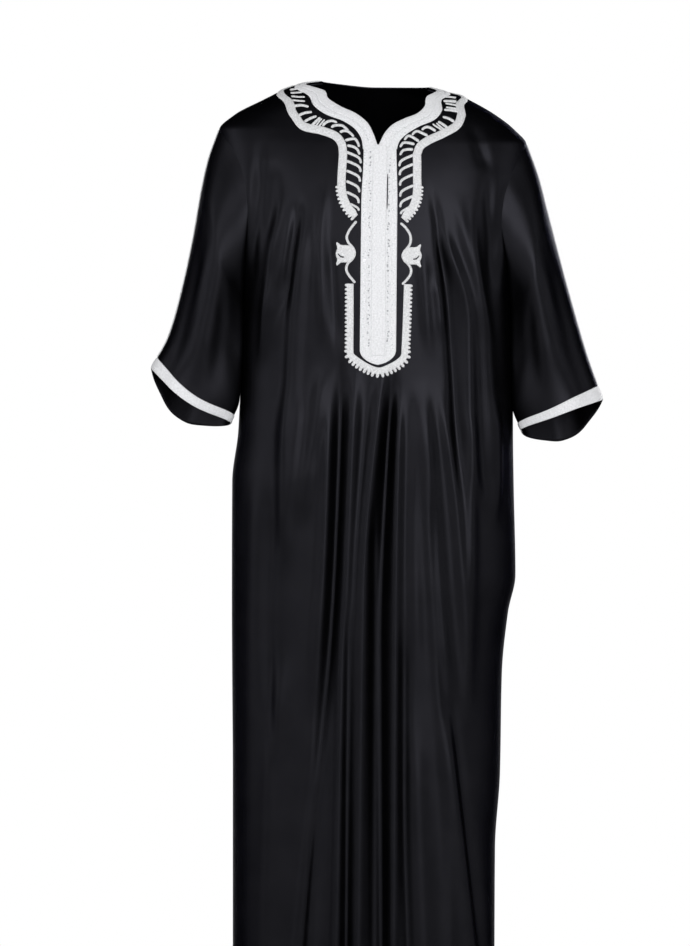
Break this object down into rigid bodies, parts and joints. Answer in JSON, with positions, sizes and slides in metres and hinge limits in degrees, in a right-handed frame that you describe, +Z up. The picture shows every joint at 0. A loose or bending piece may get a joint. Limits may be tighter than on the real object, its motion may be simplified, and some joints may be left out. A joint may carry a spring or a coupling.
{
  "type": "djellaba",
  "caption": "Men's black satin djellaba with three-quarter sleeves and a white embroidered neck and placket, worn and hollow.",
  "frame": {"origin": "between the shoulders at the height of the neck's sides, where the wearer carries the garment", "axes": "+Z up, the front of the garment faces -Y, +X towards the wearer's left sleeve"},
  "size_m": [0.7335, 0.3095, 1.4278],
  "materials": {
    "satin": "black satin weave with a soft sheen",
    "band": "white stitched braid",
    "braid": "white raised embroidery",
    "cord": "thin white cord"
  },
  "bodies": {
    "root": {"front": "satin", "back": "satin", "sleeve_left": "satin", "sleeve_right": "satin", "neckband": "band", "placket": "band", "placket_flap": "band", "cuff_band_left": "band", "cuff_band_right": "band", "ladder_left": "braid", "ladder_right": "braid", "ladder_back": "braid", "scroll_left": "braid", "scroll_right": "braid", "comb_border": "braid", "sleeve_cord_left_1": "cord", "sleeve_cord_left_2": "cord", "sleeve_cord_right_1": "cord", "sleeve_cord_right_2": "cord"}
  },
  "joints": []
}
